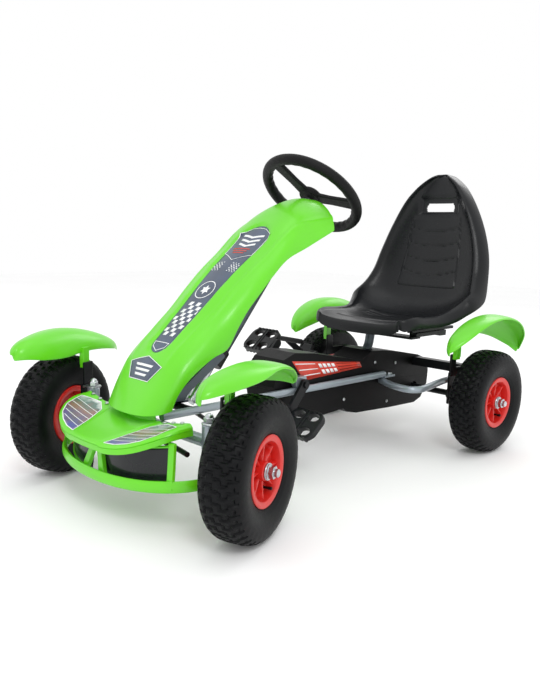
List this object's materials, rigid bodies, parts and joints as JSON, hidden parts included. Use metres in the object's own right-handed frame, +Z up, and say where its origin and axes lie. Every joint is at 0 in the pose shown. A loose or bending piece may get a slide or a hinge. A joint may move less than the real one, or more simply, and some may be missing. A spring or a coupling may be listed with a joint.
{
  "type": "pedal go kart",
  "caption": "Child's pedal go kart with steered front wheels, chain drive to the rear axle, bucket seat, long front fairing, bumper nose and wheel fenders.",
  "frame": {"origin": "on the ground below the middle of the kart's length and width", "axes": "+Z up, the kart drives towards -Y, +X is the driver's left"},
  "size_m": [0.6962, 1.2276, 0.7157],
  "materials": {
    "green_plastic": "glossy lime green moulding",
    "black_seat": "satin black moulding",
    "black_plastic": "black moulding",
    "frame_paint": "silver grey powder coat",
    "dark_steel": "satin black paint",
    "zinc": "bright zinc plate",
    "tyre": "moulded block tread",
    "red_plastic": "red moulding",
    "grip": "soft black grip",
    "smoke": "smoked dark panel"
  },
  "bodies": {
    "frame": {"frame_rail_left": "frame_paint", "frame_rail_right": "frame_paint", "front_beam_left": "frame_paint", "front_beam_right": "frame_paint", "axle_plate_left": "dark_steel", "axle_plate_right": "dark_steel", "rear_hoop": "frame_paint", "rear_beam": "dark_steel", "front_cross_tube": "dark_steel", "column_foot_bracket": "dark_steel", "steering_column": "dark_steel", "rear_fender_left": "green_plastic", "rear_fender_right": "green_plastic", "axle_bearing_left": "dark_steel", "axle_bearing_right": "dark_steel", "chain": "dark_steel", "crank_bearing_left": "frame_paint", "crank_bearing_right": "frame_paint", "chain_case_upper": "black_plastic", "chain_case_lower": "black_plastic", "seat_stand": "dark_steel", "fairing": "green_plastic", "nose_panel": "green_plastic", "bumper": "green_plastic", "grille_left": "smoke", "grille_right": "smoke", "bumper_stay": "dark_steel"},
    "handwheel": {"steering_shaft": "zinc", "steering_wheel": "grip", "hub_cap": "grip"},
    "corner_left": {"knuckle_left": "zinc", "kingpin_bolt_left": "zinc", "front_nut_left": "zinc", "front_fender_left": "green_plastic"},
    "corner_right": {"knuckle_right": "zinc", "kingpin_bolt_right": "zinc", "front_nut_right": "zinc", "front_fender_right": "green_plastic"},
    "front_wheel_left": {"front_tyre_left": "tyre", "front_rim_left": "red_plastic"},
    "front_wheel_right": {"front_tyre_right": "tyre", "front_rim_right": "red_plastic"},
    "link_left": {"tie_rod_left": "dark_steel"},
    "link_right": {"tie_rod_right": "dark_steel"},
    "driven_axle": {"rear_axle": "dark_steel", "axle_sprocket": "zinc", "rear_tyre_left": "tyre", "rear_rim_left": "red_plastic", "rear_nut_left": "zinc", "rear_nut_right": "zinc"},
    "rear_wheel_right": {"rear_tyre_right": "tyre", "rear_rim_right": "red_plastic"},
    "cranks": {"crank": "dark_steel", "chainring": "zinc"},
    "pedal_left": {"pedal_left": "black_seat"},
    "pedal_right": {"pedal_right": "black_seat"},
    "seat": {"seat_shell": "black_seat", "seat_rail_left": "dark_steel", "seat_rail_right": "dark_steel"},
    "brake": {"brake_lever": "dark_steel"}
  },
  "joints": [
    {"name": "steering_turn", "type": "hinge", "parent": "frame", "child": "handwheel", "pos_m": [0, 0.02565, 0.625], "axis": [0, 0.6225, 0.7826], "range_deg": [-99, 9]},
    {"name": "kingpin_left", "type": "hinge", "parent": "frame", "child": "corner_left", "pos_m": [0.193, -0.43485, 0.17], "axis": [0, 0, 1], "range_deg": [-44.1, 4.1]},
    {"name": "kingpin_right", "type": "hinge", "parent": "frame", "child": "corner_right", "pos_m": [-0.193, -0.43485, 0.17], "axis": [0, 0, 1], "range_deg": [-44.1, 4.1]},
    {"name": "tie_rod_pivot_left", "type": "hinge", "parent": "corner_left", "child": "link_left", "pos_m": [0.16735, -0.36437, 0.1583], "axis": [0, 0, 1], "range_deg": [-4.1, 44.1]},
    {"name": "tie_rod_pivot_right", "type": "hinge", "parent": "corner_right", "child": "link_right", "pos_m": [-0.21865, -0.36437, 0.1583], "axis": [0, 0, 1], "range_deg": [-4.1, 44.1]},
    {"name": "front_wheel_left_spin", "type": "hinge", "parent": "corner_left", "child": "front_wheel_left", "pos_m": [0.27287, -0.40578, 0.12937], "axis": [0.9397, 0.342, 0], "continuous": true},
    {"name": "front_wheel_right_spin", "type": "hinge", "parent": "corner_right", "child": "front_wheel_right", "pos_m": [-0.27287, -0.46392, 0.12937], "axis": [0.9397, 0.342, 0], "continuous": true},
    {"name": "rear_axle_spin", "type": "hinge", "parent": "frame", "child": "driven_axle", "pos_m": [0, 0.42515, 0.12937], "axis": [1, 0, 0], "continuous": true},
    {"name": "rear_wheel_right_spin", "type": "hinge", "parent": "driven_axle", "child": "rear_wheel_right", "pos_m": [-0.266, 0.42515, 0.12937], "axis": [1, 0, 0], "continuous": true},
    {"name": "crank_spin", "type": "hinge", "parent": "frame", "child": "cranks", "pos_m": [0, -0.05585, 0.199], "axis": [1, 0, 0], "continuous": true},
    {"name": "pedal_left_spin", "type": "hinge", "parent": "cranks", "child": "pedal_left", "pos_m": [0.127, -0.11499, 0.12852], "axis": [1, 0, 0], "continuous": true},
    {"name": "pedal_right_spin", "type": "hinge", "parent": "cranks", "child": "pedal_right", "pos_m": [-0.127, 0.00329, 0.26948], "axis": [1, 0, 0], "continuous": true},
    {"name": "seat_slide", "type": "slide", "parent": "frame", "child": "seat", "axis": [0, 1, 0], "range_m": [-0.04, 0.04]},
    {"name": "brake_turn", "type": "hinge", "parent": "frame", "child": "brake", "pos_m": [-0.2, 0.25815, 0.182], "axis": [1, 0, 0], "range_deg": [-6, 0], "stiffness_Nm_per_rad": 2, "springref_deg": 2.86}
  ],
  "couplings": [
    {"joint": "kingpin_left", "follows": "steering_turn", "ratio": 0.44444},
    {"joint": "kingpin_right", "follows": "steering_turn", "ratio": 0.44444},
    {"joint": "tie_rod_pivot_left", "follows": "steering_turn", "ratio": -0.44444},
    {"joint": "tie_rod_pivot_right", "follows": "steering_turn", "ratio": -0.44444},
    {"joint": "crank_spin", "follows": "rear_axle_spin", "ratio": 0.53846}
  ]
}
